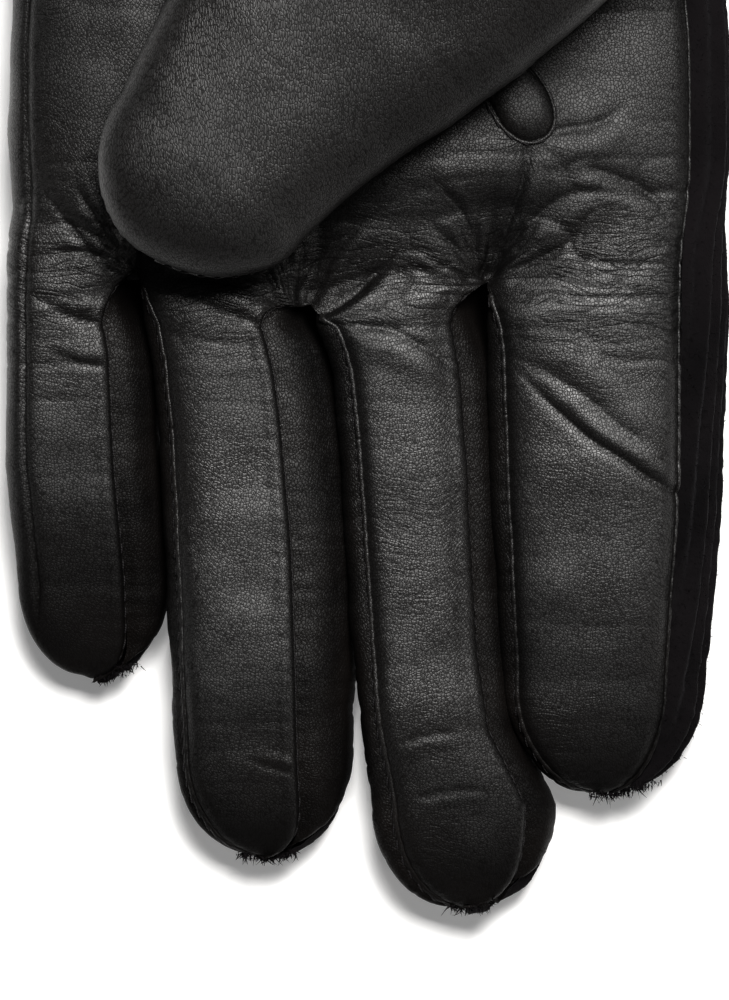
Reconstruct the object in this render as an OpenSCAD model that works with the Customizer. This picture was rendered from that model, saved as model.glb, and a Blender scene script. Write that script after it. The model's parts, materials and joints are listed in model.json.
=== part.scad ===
// Left-hand dress glove, leather palm and velvet back, lying palm up with the thumb folded over the palm.
// X runs to the index side, Y to the cuff and Z up from the table. The origin is on the table, under the
// line of the finger crotches. Units are mm.

/* [Hand] */
// Thickness of the hand from the table to the palm
hand_h = 24; // [23:0.5:25]
// Length from the finger crotches to the wrist
hand_l = 96; // [92:1:100]
// Half width of the hand at the finger crotches
palm_half = 51.8; // [51:0.2:53]
// Half width of the hand at the wrist
wrist_half = 44; // [42:1:46]

/* [Cuff] */
// Length from the wrist to the mouth
cuff_l = 62; // [50:1:80]
// Half width of the mouth
mouth_half = 49; // [46:1:54]
// Width of the turned hem at the mouth
hem_w = 7; // [5:1:10]

/* [Fingers] */
// Length of the little finger from its crotch
little_l = 57.7; // [56:0.5:60]
// Length of the ring finger
ring_l = 83.8; // [80:0.5:86]
// Length of the middle finger
middle_l = 91; // [89:0.5:93]
// Length of the index finger
index_l = 74.5; // [73:0.5:76]
// Thickness of the fingers where they leave the hand
finger_h = 22; // [21:0.5:23]
// How far the top of each finger leans towards the little finger, for one mm of height
lean = 0.3; // [0.2:0.05:0.4]

/* [Thumb] */
// Thickness of the thumb at its root
thumb_h = 20; // [18:0.5:22]
// Half width of the thumb at its root
thumb_half = 24; // [22:0.5:25]
// Half width of the thumb at its tip
thumb_tip_half = 16.5; // [14:0.5:17]

/* [Layers] */
// Thickness of the leather and of the velvet
skin = 1; // [0.8:0.1:1.1]
// Thickness of the lining
lining = 0.8; // [0.6:0.1:0.9]
// Clearance between two layers
layer_gap = 0.25; // [0.2:0.05:0.3]
// Clearance on each side of a bending line
bend_gap = 0.25; // [0.2:0.05:0.4]

/* [Hidden] */

leather = [0.06, 0.055, 0.055];
velvet = [0.03, 0.028, 0.032];
cloth = [0.2, 0.2, 0.21];
rubber = [0.5, 0.48, 0.45];

LITTLE = 0;
RING = 1;
MIDDLE = 2;
INDEX = 3;

// Lengths and rounded tip lengths, little finger first
long = [little_l, ring_l, middle_l, index_l];
round_tip = [13.7, 15.8, 15, 16.5];
// Bending line of each finger's middle joint, measured from the crotch line
mid = [27, 39, 42, 35];
// The bending line of the knuckles
knuckle = 4;
// Middle line of each finger: distance from the crotch line, then place across the hand
centre = [
  [[0, -41.3], [26, -41], [44, -39.6]],
  [[0, -19.4], [17, -16.6], [40, -15.2], [68, -14.6], [84, -12.6]],
  [[0, 5], [17, 7.2], [40, 8.5], [62, 9.7], [70, 11.7], [76, 13.8]],
  [[0, 35.2], [34, 35.2], [58, 34.8], [74, 34.2]]
];
// Half width of each finger along its length
half = [
  [[0, 9.9], [26, 10.4], [44, 10]],
  [[0, 11.6], [17, 12.4], [40, 12.7], [68, 12.3]],
  [[0, 11.3], [17, 10], [40, 9.9], [62, 9.9], [70, 10.6], [76, 12.2]],
  [[0, 16.8], [34, 15.8], [58, 14]]
];
// Thickness of each finger at its tip
tip_h = [14, 16, 16, 17];
base_h = [finger_h - 3, finger_h - 1, finger_h - 1, finger_h];
finger_power = 2.4;
hand_power = 3.2;

// Where the pieces meet round each finger, in degrees from the index side: front, and back
front_right = [48, 58, 32, 42];
front_left = [200, 165, 165, 168];
back_right = [-20, -20, -20, 42];
back_left = [200, 250, 250, 250];
// Where the palm leather meets the velvet round the hand
side_right = 33;
side_left = 205;
// Gap between two pieces sewn side by side, in degrees
seam_gap = 1.2;

inside = skin + layer_gap;
wrist_y = hand_l;
mouth_y = hand_l + cuff_l;
// Hollow under the flat of the hand, so that it rests on a true flat
sole_depth = 0.8;

function signed_power(v, e) = sign(v) * pow(abs(v), e);

// One point of a soft rounded section: place across and height
function section(middle, a, z, up, down, power, slope, turn) =
  let (c = signed_power(cos(turn), 2 / power))
  let (s = signed_power(sin(turn), 2 / power))
  let (rise = (s >= 0 ? up : down) * s)
  [middle + a * c - slope * rise, max(z + rise, 0)];

function finger_point(i, s, turn) =
  let (start = long[i] - round_tip[i])
  let (q = max(0, s - start) / round_tip[i])
  let (e = sqrt(max(0, 1 - q * q)))
  let (h = base_h[i] + (tip_h[i] - base_h[i]) * min(1, s / start))
  let (p = section(lookup(s, centre[i]), lookup(s, half[i]) * e, h / 2 + 0.1, h / 2 * e, h / 2 * e,
    finger_power, lean, turn))
  [p[0], -s, p[1]];

hand_half = [[0, palm_half], [30, palm_half + 0.2], [60, palm_half - 1.5], [wrist_y, wrist_half],
  [wrist_y + cuff_l / 2, (wrist_half + mouth_half) / 2 + 0.5], [mouth_y, mouth_half]];
hand_centre = [[-5, 0.7], [40, 0.6], [wrist_y, 0]];
hand_thick = [[0, hand_h - 1], [25, hand_h], [60, hand_h], [wrist_y, hand_h - 3], [mouth_y, hand_h - 4]];

function hand_point(y, turn) =
  let (b = lookup(y, hand_thick) / 2)
  let (p = section(lookup(y, hand_centre), lookup(y, hand_half), b, b, b + sole_depth, hand_power, 0, turn))
  [p[0], y, p[1]];

// The thumb's middle line is a curve from its root, over the palm, to the middle of its round tip
root = [31, 66];
sweep = [6.5, 53];
tip = [-22, 16];
thumb_l = 76;
thumb_mid = 42;
thumb_z = hand_h + 1;
thumb_swell = 1;
thumb_widths = [[0, thumb_half], [thumb_l / 2, thumb_half + thumb_swell], [52, thumb_half - thumb_swell],
  [thumb_l, thumb_tip_half]];

function thumb_point(s, turn) =
  let (t = min(1, s / thumb_l))
  let (over = max(0, s - thumb_l))
  let (way = 2 * (1 - t) * (sweep - root) + 2 * t * (tip - sweep))
  let (u = way / norm(way))
  let (c = (1 - t) * (1 - t) * root + 2 * t * (1 - t) * sweep + t * t * tip + over * u)
  let (q = over / thumb_tip_half)
  let (e = sqrt(max(0, 1 - q * q)))
  let (h = thumb_h + (tip_h[LITTLE] + 1 - thumb_h) * t)
  let (p = section(0, lookup(s, thumb_widths) * e, h / 2, h / 2 * e, h / 2 * e, finger_power, 0, turn))
  [c[0] - u[1] * p[0], c[1] + u[0] * p[0], thumb_z + p[1]];

// Distances along a tube: even steps, or closing in on a rounded tip
function steps(from, to, n) = [for (k = [0:n]) from + (to - from) * k / n];
tip_turns = [22, 42, 60, 74, 84];
function tip_steps(from, start, reach) =
  concat(steps(from, start, 3), [for (t = tip_turns) start + reach * sin(t)]);

// Inward direction at each place of a grid of points
function pick(list, k) = list[max(0, min(len(list) - 1, k))];
function along(g, r, c) = pick(g, r + 1)[c] - pick(g, r - 1)[c];
function around(g, r, c, closed) =
  closed ? g[r][(c + 1) % len(g[r])] - g[r][(c + len(g[r]) - 1) % len(g[r])]
  : pick(g[r], c + 1) - pick(g[r], c - 1);
function inward(g, r, c, closed) =
  let (n = cross(along(g, r, c), around(g, r, c, closed)))
  n / norm(n);

function halves(q) = [[q[0], q[1], q[2]], [q[0], q[2], q[3]]];

// A skin between two depths under a grid of points. A closed skin goes all the way round. An open one has
// a spare column at each side, which only sets the direction of the skin's edge.
module sheet(g, outer, inner, closed = false) {
  rows = len(g);
  spare = closed ? 0 : 1;
  cols = len(g[0]) - 2 * spare;
  n = rows * cols;
  ring = closed ? cols : cols - 1;
  last = (rows - 1) * cols;
  across = [spare:cols - 1 + spare];
  places = [for (r = [0:rows - 1]) for (c = across) inward(g, r, c, closed)];
  flat_g = [for (r = [0:rows - 1]) for (c = across) g[r][c]];
  points = concat([for (k = [0:n - 1]) flat_g[k] + outer * places[k]],
    [for (k = [0:n - 1]) flat_g[k] + inner * places[k]]);
  quads = concat(
    [for (r = [0:rows - 2]) for (c = [0:ring - 1])
      let (d = (c + 1) % cols) [r * cols + c, (r + 1) * cols + c, (r + 1) * cols + d, r * cols + d]],
    [for (r = [0:rows - 2]) for (c = [0:ring - 1])
      let (d = (c + 1) % cols)
      [n + r * cols + c, n + r * cols + d, n + (r + 1) * cols + d, n + (r + 1) * cols + c]],
    [for (c = [0:ring - 1]) let (d = (c + 1) % cols) [c, d, n + d, n + c]],
    [for (c = [0:ring - 1]) let (d = (c + 1) % cols) [last + d, last + c, n + last + c, n + last + d]],
    closed ? [] : [for (r = [0:rows - 2]) [(r + 1) * cols, r * cols, n + r * cols, n + (r + 1) * cols]],
    closed ? [] : [for (r = [0:rows - 2]) let (e = r * cols + cols - 1) [e, e + cols, n + e + cols, n + e]]
  );
  polyhedron(points, [for (q = quads) for (t = halves(q)) t]);
}

// How the seams run: they start together at the crotch, spread, and close again at the tip
fork = 7;
function spread(s) = pow(1 - min(1, s / fork), 2);
function gather(i, s) = pow(max(0, s - (long[i] - round_tip[i])) / round_tip[i], 2);
function right_seam(i, s) = front_right[i] - (i == INDEX ? 0 : 38 * spread(s) + 26 * gather(i, s));
function left_seam(i, s) = front_left[i] - (i == LITTLE ? 0 : 12 * spread(s));
function right_hem(i, s) = i == INDEX ? right_seam(i, s) : back_right[i] + 40 * gather(i, s);
function left_hem(i, s) = i == LITTLE ? left_seam(i, s) : back_left[i] - 55 * gather(i, s);

// Turns across a patch, a seam's gap in from each side, with a spare one beyond each side
function turns_between(low, high, cols) =
  [for (c = [-1:cols + 1]) low + seam_gap + (high - low - 2 * seam_gap) * c / cols];

function patch(i, list, low, high, cols) =
  [for (k = [0:len(list) - 1]) [for (t = turns_between(low[k], high[k], cols)) finger_point(i, list[k], t)]];

base_rows = 4;
function base_list(i) = steps(knuckle + bend_gap, mid[i] - bend_gap, base_rows);
function tip_list(i) = tip_steps(mid[i] + bend_gap, long[i] - round_tip[i], round_tip[i]);

module front(i, list, cols) {
  low = [for (s = list) right_seam(i, s)];
  high = [for (s = list) left_seam(i, s)];
  color(leather) sheet(patch(i, list, low, high, cols), 0, skin);
}

module back(i, list, cols) {
  low = [for (s = list) left_hem(i, s)];
  high = [for (s = list) right_hem(i, s) + 360];
  color(velvet) sheet(patch(i, list, low, high, cols), 0, skin);
}

// The strip beside the finger, on the side of the index (right) or of the little finger (left)
module fourchette(i, list, right) {
  low = [for (s = list) right ? right_hem(i, s) : left_seam(i, s)];
  high = [for (s = list) right ? right_seam(i, s) : left_hem(i, s)];
  color(leather) sheet(patch(i, list, low, high, 4), 0, skin);
}

module finger_lining(i, list) {
  turns = 14;
  g = [for (s = list) [for (c = [0:turns - 1]) finger_point(i, s, c * 360 / turns)]];
  color(cloth) sheet(g, inside, inside + lining, true);
}

// The hand runs from the wrist end down to the fingers
hand_list = concat(steps(wrist_y - bend_gap, 20, 5), [8, bend_gap - knuckle]);
cuff_list = steps(mouth_y - hem_w, wrist_y + bend_gap, 3);

function hand_patch(list, low, high, cols) =
  [for (y = list) [for (t = turns_between(low, high, cols)) hand_point(y, t)]];
function hand_ring(list, turns) = [for (y = list) [for (c = [0:turns - 1]) hand_point(y, c * 360 / turns)]];

module palm_leather() color(leather) sheet(hand_patch(hand_list, side_right, side_left, 14), 0, skin);

module back_velvet() color(velvet) sheet(hand_patch(hand_list, side_left, side_right + 360, 14), 0, skin);

module hand_lining() color(cloth) sheet(hand_ring(hand_list, 22), inside, inside + lining, true);

// A sewn edge standing a little proud of the skins it joins
module side_seam(turn) {
  width = 1.6;
  g = [for (y = hand_list) [for (c = [-2:2]) hand_point(y, turn + c * width)]];
  color(leather) sheet(g, -0.7, -0.1);
}

module wrist_elastic() {
  depth = inside + lining + layer_gap;
  g = hand_patch([wrist_y - 4, wrist_y - 12], 215, 325, 10);
  color(rubber) sheet(g, depth, depth + 0.6);
}

module cuff_front() color(leather) sheet(hand_patch(cuff_list, side_right, side_left, 12), 0, skin);

module cuff_back() color(velvet) sheet(hand_patch(cuff_list, side_left, side_right + 360, 12), 0, skin);

module cuff_lining() color(cloth) sheet(hand_ring(cuff_list, 22), inside, inside + lining, true);

module cuff_hem() {
  g = hand_ring([mouth_y, mouth_y - hem_w + 0.3], 26);
  color(leather) sheet(g, 0, inside + lining, true);
}

// The small web of leather that closes the fork between two fingers
module quirk(place) {
  web = 1.9;
  heights = [18.5, 15, 11.5, 8, 4.5];
  turns = [165, 200, 235, 270, 305, 340, 375];
  g = [for (z = heights) [for (t = turns) [place + web * cos(t), -1.2 + web * sin(t) * 0.9, z]]];
  color(leather) sheet(g, 0, 0.7);
}

// A flat drop of leather let into the palm beside the thumb
tongue = [22.6, 27];
module thumb_tongue() {
  wide = 4.4;
  tall = 7;
  taper = 0.35;
  point = 4;
  drop = [for (t = [0:15:345])
    [wide * cos(t) * (1 - taper * max(0, sin(t))), tall * sin(t) + point * max(0, sin(t))]];
  color(leather) translate([tongue[0], tongue[1], hand_h - 0.1]) linear_extrude(height = 0.5) polygon(drop);
}

// The sewn ring round the thumb's root
module thumb_welt() {
  wide = 21;
  tall = 25;
  g = [for (t = [0:15:345]) [root[0] - 7 + wide * cos(t), root[1] - 1 + tall * sin(t)]];
  color(leather) translate([0, 0, hand_h + 0.05]) linear_extrude(height = 0.5) difference() {
    polygon(g);
    offset(delta = -1.6) polygon(g);
  }
}

thumb_base_list = steps(bend_gap + 0.1, thumb_mid - bend_gap, 4);
thumb_tip_list = tip_steps(thumb_mid + bend_gap, thumb_l, thumb_tip_half);
thumb_low = -12;
thumb_high = 192;

function thumb_patch(list, low, high, cols) =
  [for (s = list) [for (t = turns_between(low, high, cols)) thumb_point(s, t)]];

module thumb_over(list) color(leather) sheet(thumb_patch(list, thumb_low, thumb_high, 10), 0, skin);

module thumb_under(list) color(leather) sheet(thumb_patch(list, thumb_high, thumb_low + 360, 8), 0, skin);

module thumb_lining(list) {
  turns = 14;
  g = [for (s = list) [for (c = [0:turns - 1]) thumb_point(s, c * 360 / turns)]];
  color(cloth) sheet(g, inside, inside + lining, true);
}

palm_leather();
back_velvet();
hand_lining();
thumb_tongue();
thumb_welt();
side_seam(side_left);  // little_side_seam
side_seam(side_right);  // index_side_seam
quirk(-31);  // quirk_little_ring
quirk(-6.8);  // quirk_ring_middle
quirk(17.4);  // quirk_middle_index
wrist_elastic();
cuff_front();
cuff_back();
cuff_lining();
cuff_hem();
front(LITTLE, base_list(LITTLE), 7);  // little_base_front
back(LITTLE, base_list(LITTLE), 7);  // little_base_back
finger_lining(LITTLE, base_list(LITTLE));  // little_base_lining
fourchette(LITTLE, base_list(LITTLE), true);  // little_base_fourchette
front(LITTLE, tip_list(LITTLE), 7);  // little_tip_front
back(LITTLE, tip_list(LITTLE), 7);  // little_tip_back
finger_lining(LITTLE, tip_list(LITTLE));  // little_tip_lining
fourchette(LITTLE, tip_list(LITTLE), true);  // little_tip_fourchette
front(RING, base_list(RING), 6);  // ring_base_front
back(RING, base_list(RING), 5);  // ring_base_back
finger_lining(RING, base_list(RING));  // ring_base_lining
fourchette(RING, base_list(RING), true);  // ring_base_outer_fourchette
fourchette(RING, base_list(RING), false);  // ring_base_inner_fourchette
front(RING, tip_list(RING), 6);  // ring_tip_front
back(RING, tip_list(RING), 5);  // ring_tip_back
finger_lining(RING, tip_list(RING));  // ring_tip_lining
fourchette(RING, tip_list(RING), true);  // ring_tip_outer_fourchette
fourchette(RING, tip_list(RING), false);  // ring_tip_inner_fourchette
front(MIDDLE, base_list(MIDDLE), 6);  // middle_base_front
back(MIDDLE, base_list(MIDDLE), 5);  // middle_base_back
finger_lining(MIDDLE, base_list(MIDDLE));  // middle_base_lining
fourchette(MIDDLE, base_list(MIDDLE), true);  // middle_base_outer_fourchette
fourchette(MIDDLE, base_list(MIDDLE), false);  // middle_base_inner_fourchette
front(MIDDLE, tip_list(MIDDLE), 6);  // middle_tip_front
back(MIDDLE, tip_list(MIDDLE), 5);  // middle_tip_back
finger_lining(MIDDLE, tip_list(MIDDLE));  // middle_tip_lining
fourchette(MIDDLE, tip_list(MIDDLE), true);  // middle_tip_outer_fourchette
fourchette(MIDDLE, tip_list(MIDDLE), false);  // middle_tip_inner_fourchette
front(INDEX, base_list(INDEX), 7);  // index_base_front
back(INDEX, base_list(INDEX), 8);  // index_base_back
finger_lining(INDEX, base_list(INDEX));  // index_base_lining
fourchette(INDEX, base_list(INDEX), false);  // index_base_fourchette
front(INDEX, tip_list(INDEX), 7);  // index_tip_front
back(INDEX, tip_list(INDEX), 8);  // index_tip_back
finger_lining(INDEX, tip_list(INDEX));  // index_tip_lining
fourchette(INDEX, tip_list(INDEX), false);  // index_tip_fourchette
thumb_over(thumb_base_list);  // thumb_base_front
thumb_under(thumb_base_list);  // thumb_base_back
thumb_lining(thumb_base_list);  // thumb_base_lining
thumb_over(thumb_tip_list);  // thumb_tip_front
thumb_under(thumb_tip_list);  // thumb_tip_back
thumb_lining(thumb_tip_list);  // thumb_tip_lining
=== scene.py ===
"""Looks of a left-hand dress glove: grained leather palm, velvet back, thumb folded over the palm."""
import json
import math

import bpy
import numpy as np
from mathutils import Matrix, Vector


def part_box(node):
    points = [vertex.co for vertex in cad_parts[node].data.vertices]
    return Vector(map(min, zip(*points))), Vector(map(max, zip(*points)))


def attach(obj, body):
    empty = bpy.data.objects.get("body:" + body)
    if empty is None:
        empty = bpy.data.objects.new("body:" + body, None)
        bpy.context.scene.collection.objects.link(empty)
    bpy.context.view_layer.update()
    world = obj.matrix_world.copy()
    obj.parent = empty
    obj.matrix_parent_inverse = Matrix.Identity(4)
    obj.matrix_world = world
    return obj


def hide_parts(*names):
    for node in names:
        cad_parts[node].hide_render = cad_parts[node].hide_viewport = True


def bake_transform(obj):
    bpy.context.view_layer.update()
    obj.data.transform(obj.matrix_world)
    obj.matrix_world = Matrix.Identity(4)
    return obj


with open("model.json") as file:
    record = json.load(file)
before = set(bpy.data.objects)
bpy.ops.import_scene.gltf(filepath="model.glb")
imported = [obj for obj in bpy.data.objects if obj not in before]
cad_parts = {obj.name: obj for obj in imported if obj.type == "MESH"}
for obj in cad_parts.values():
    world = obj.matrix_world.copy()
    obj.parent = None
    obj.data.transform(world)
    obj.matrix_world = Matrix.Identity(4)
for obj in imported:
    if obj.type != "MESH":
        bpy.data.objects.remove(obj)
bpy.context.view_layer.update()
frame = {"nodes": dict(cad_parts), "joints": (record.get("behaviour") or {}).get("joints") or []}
MM = 0.001

# ---------------------------------------------------------------- sizes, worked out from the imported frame

FINGERS = ("little", "ring", "middle", "index")
ROW_POINTS = 14
FINGER_POWER = 2.9
HAND_POWER = 3.2
LEAN = 0.3
SOLE = 0.8 * MM
LAYER = 1.6 * MM
CLEAR = 0.02 * MM
DENSE = 200
TURNS = 60
GRID = 0.45 * MM
TIP_ROWS = 6
TIP_ROW_60 = -3
JOINTS = {j["name"]: j for j in frame["joints"]}

# Where the pieces meet round each finger, in degrees from the index side
FRONT_RIGHT = {"little": 58, "ring": 64, "middle": 38, "index": 44}
FRONT_LEFT = {"little": 200, "ring": 136, "middle": 122, "index": 138}
BACK_RIGHT = -20
BACK_LEFT = 250
SIDE_RIGHT = 33
SIDE_LEFT = 205
FORK = 7 * MM
PALM_BLEND = 17 * MM


def smooth(v, a, b):
    t = np.clip((v - a) / (b - a), 0, 1)
    return t * t * (3 - 2 * t)


def node_points(*names):
    found = []
    for n in names:
        mesh = frame["nodes"][n].data
        co = np.zeros(len(mesh.vertices) * 3, np.float32)
        mesh.vertices.foreach_get("co", co)
        found.append(co.reshape(-1, 3).astype(float))
    return np.unique(np.round(np.concatenate(found), 6), axis=0)


def rows_of(*names):
    """Outlines of a tube along Y: a row of y, low x, high x, low z, high z for each ring of points."""
    co = node_points(*names)
    keys = np.round(co[:, 1], 5)
    rows = []
    for y in np.unique(keys):
        ring = co[keys == y]
        if len(ring) >= ROW_POINTS:
            rows.append((y, ring[:, 0].min(), ring[:, 0].max(), ring[:, 2].min(), ring[:, 2].max()))
    return np.array(rows)


# How much fuller the leather is on the index side, where the finger is pressed against the next one
FULLER = {"little": 0.8 * MM, "ring": 0.6 * MM, "middle": 1.4 * MM}


def finger_profile(f):
    names = [n for n in frame["nodes"] if n.startswith(f + "_") and not n.endswith(("lining", "seam"))]
    rows = rows_of(*names)[::-1]
    s = -rows[:, 0]
    wide = (rows[:, 2] - rows[:, 1]) / 2
    tall = (rows[:, 4] - rows[:, 3]) / 2
    start = s[-TIP_ROWS]
    e = wide[TIP_ROW_60] / wide[-TIP_ROWS]
    reach = (s[TIP_ROW_60] - start) / math.sqrt(1 - e * e)
    straight = s <= start + 1e-6
    q = FINGER_POWER / (FINGER_POWER - 1)
    half = (wide ** q - (LEAN * tall) ** q) ** (1 / q)
    keep = s[straight]
    full = FULLER.get(f, 0.0) * smooth(keep, 0, 10 * MM) / 2
    return {"s": keep, "x": ((rows[:, 1] + rows[:, 2]) / 2)[straight] + full, "half": half[straight] + full,
            "z": ((rows[:, 3] + rows[:, 4]) / 2)[straight], "tall": tall[straight], "low": rows[straight, 1],
            "start": start, "reach": reach, "long": start + reach}


PROFILE = {f: finger_profile(f) for f in FINGERS}
hand_rows = np.concatenate([rows_of("palm_leather", "back_velvet"), rows_of("cuff_front", "cuff_back"),
                            rows_of("cuff_hem")])
hand_rows = hand_rows[np.argsort(hand_rows[:, 0])]
MOUTH_Y = float(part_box("cuff_hem")[1].y)
HEM = float(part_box("cuff_hem")[1].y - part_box("cuff_hem")[0].y)
WRIST_Y = JOINTS["wrist_fold"]["pos_m"][1]
KNUCKLE_Y = JOINTS["ring_knuckle"]["pos_m"][1]
HAND_TOP = float(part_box("palm_leather")[1].z)


# How far the soft top of a fingertip sinks, and over what length it does so
DROOP = 3.2 * MM
DROOP_RUN = 16 * MM


def power(v, e):
    return np.sign(v) * np.abs(v) ** e


def finger_point(f, s, turn):
    """Point of a finger's skin: s along it from the crotch line, turn round it in degrees."""
    p = PROFILE[f]
    q = np.clip((s - p["start"]) / p["reach"], 0, 1)
    e = np.sqrt(1 - q * q)
    t = np.radians(turn)
    c = power(np.cos(t), 2 / FINGER_POWER)
    r = power(np.sin(t), 2 / FINGER_POWER) * np.interp(s, p["s"], p["tall"]) * e
    x = np.interp(s, p["s"], p["x"]) + np.interp(s, p["s"], p["half"]) * e * c - LEAN * r
    droop = DROOP * smooth(s, p["start"] - DROOP_RUN, p["long"]) * np.maximum(0, r) / p["tall"][-1]
    return np.stack(np.broadcast_arrays(x, -s, np.interp(s, p["s"], p["z"]) + r - droop), -1)


def hand_size(y):
    """Middle and half width across, and half height, of the hand or cuff at y."""
    low, high, top = (np.interp(y, hand_rows[:, 0], hand_rows[:, k]) for k in (1, 2, 4))
    return (low + high) / 2, (high - low) / 2, top / 2


def hand_point(y, turn):
    """Point of the skin of the hand or cuff at y, turn round it in degrees."""
    x, half, tall = hand_size(y)
    t = np.radians(turn)
    n = power(np.sin(t), 2 / HAND_POWER)
    z = tall + np.where(n >= 0, tall, tall + SOLE) * n
    return np.stack(np.broadcast_arrays(x + half * power(np.cos(t), 2 / HAND_POWER), y, np.maximum(z, 0)), -1)


def hand_turn(x, y, under=False):
    """The turn at which the hand's skin is at x."""
    middle, half, _ = hand_size(y)
    a = math.degrees(math.acos(max(-1, min(1, power((x - middle) / half, HAND_POWER / 2)))))
    return 360 - a if under else a


def palm_height(x, y):
    middle, half, tall = hand_size(y)
    q = np.clip(np.abs((x - middle) / half), 0, 1)
    return tall + tall * (1 - q ** HAND_POWER) ** (1 / HAND_POWER)


def spread(s):
    return (1 - np.clip(s / FORK, 0, 1)) ** 2


def gather(f, s):
    p = PROFILE[f]
    return np.clip((s - p["start"]) / p["reach"], 0, 1) ** 2


def right_seam(f, s):
    return FRONT_RIGHT[f] - (0 * s if f == "index" else 38 * spread(s) + 26 * gather(f, s))


def left_seam(f, s):
    return FRONT_LEFT[f] - (0 * s if f == "little" else 12 * spread(s))


def right_hem(f, s):
    return right_seam(f, s) if f == "index" else BACK_RIGHT + 40 * gather(f, s)


def left_hem(f, s):
    return left_seam(f, s) if f == "little" else BACK_LEFT - 55 * gather(f, s)


# ---------------------------------------------------------------- small tools

def lattice(i, seed):
    """A value from -1 to 1 for each whole-numbered place, by mixing the bits of its numbers."""
    h = i[..., 0] * 374761393 + i[..., 1] * 668265263 + i[..., 2] * 1442695041 + seed * 1274126177
    h = h & 0xFFFFFFFF
    h = ((h ^ (h >> 13)) * 1274126177) & 0xFFFFFFFF
    h = ((h ^ (h >> 15)) * 2246822519) & 0xFFFFFFFF
    return ((h ^ (h >> 16)) & 0xFFFFFF) / float(0x7FFFFF) - 1


def noise(p, size, seed=0):
    """Smooth noise from -1 to 1. size is one length, or one for each axis."""
    q = p / np.asarray(size, float)
    i = np.floor(q).astype(np.int64)
    f = q - i
    f = f * f * f * (f * (6 * f - 15) + 10)
    total = 0
    for k in range(8):
        d = np.array([k & 1, (k >> 1) & 1, (k >> 2) & 1])
        w = np.prod(np.where(d, f, 1 - f), axis=-1)
        total = total + w * lattice(i + d, seed)
    return total


def creases(p, size, sharp, seed):
    """Thin valleys, 0 to -1, along the lines where a noise crosses zero."""
    return -np.exp(-np.abs(noise(p, size, seed)) / sharp)


def normals(g):
    """Outward normals of a grid whose rows run along the piece and whose columns turn round it."""
    down = np.gradient(g, axis=0)
    over = np.gradient(g, axis=1)
    n = np.cross(over, down)
    return n / np.maximum(np.linalg.norm(n, axis=-1, keepdims=True), 1e-12)


def edge_distance(g):
    """Distance of each point from the first and from the last column, along its row."""
    steps = np.linalg.norm(np.diff(g, axis=1), axis=-1)
    arc = np.concatenate([np.zeros((len(g), 1)), np.cumsum(steps, axis=1)], axis=1)
    return arc, arc[:, -1:] - arc


def even(dense, n):
    """Resamples each row of points to n + 1 points evenly spaced along it."""
    want = np.linspace(0, 1, n + 1)
    return np.stack([np.stack([np.interp(want * a[-1], a, d[:, k]) for k in range(3)], -1)
                     for a, d in zip(edge_distance(dense)[0], dense)])


def around(point, along, low, high, n, dense=DENSE):
    """Grid of a tube's skin between two turns: one row of n + 1 points for each place along it."""
    turns = low + (high - low) * np.linspace(0, 1, dense + 1)
    return even(point(along[:, None] + 0 * turns, turns + 0 * along[:, None]), n)


def lengths(path):
    """Distance of each point of a path from its first, along it."""
    return np.concatenate([[0], np.cumsum(np.linalg.norm(np.diff(path, axis=0), axis=-1))])


def resample(path, gap):
    arc = lengths(path)
    want = np.linspace(0, arc[-1], int(arc[-1] / gap))
    return np.stack([np.interp(want, arc, path[:, k]) for k in range(3)], -1)


def upward(path):
    return np.repeat(np.array([[0, 0, 1.0]]), len(path), 0)


def add_object(name, data):
    obj = bpy.data.objects.new(name, data)
    bpy.context.scene.collection.objects.link(obj)
    return obj


def put_mesh(name, verts, faces, materials, out=None, marks=None):
    """A smooth mesh. out is a normal for each point, and marks say which material each face has."""
    mesh = bpy.data.meshes.new(name)
    mesh.from_pydata([tuple(v) for v in verts], [], faces)
    for m in materials:
        mesh.materials.append(m)
    mesh.polygons.foreach_set("use_smooth", [True] * len(mesh.polygons))
    if marks is not None:
        mesh.polygons.foreach_set("material_index", marks)
    mesh.update()
    if out is not None:
        mesh.normals_split_custom_set_from_vertices([tuple(n) for n in out])
    return add_object(name, mesh)


def grid_faces(rows, cols, closed=False, start=0):
    r, c = np.meshgrid(np.arange(rows - 1), np.arange(cols if closed else cols - 1), indexing="ij")
    d = (c + 1) % cols
    quads = np.stack([r * cols + c, r * cols + d, (r + 1) * cols + d, (r + 1) * cols + c], -1)
    return (quads.reshape(-1, 4) + start).tolist()


def put_grid(name, g, n, material):
    obj = put_mesh(name, g.reshape(-1, 3), grid_faces(*g.shape[:2]), [material], n.reshape(-1, 3))
    return obj


# ---------------------------------------------------------------- materials

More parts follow.
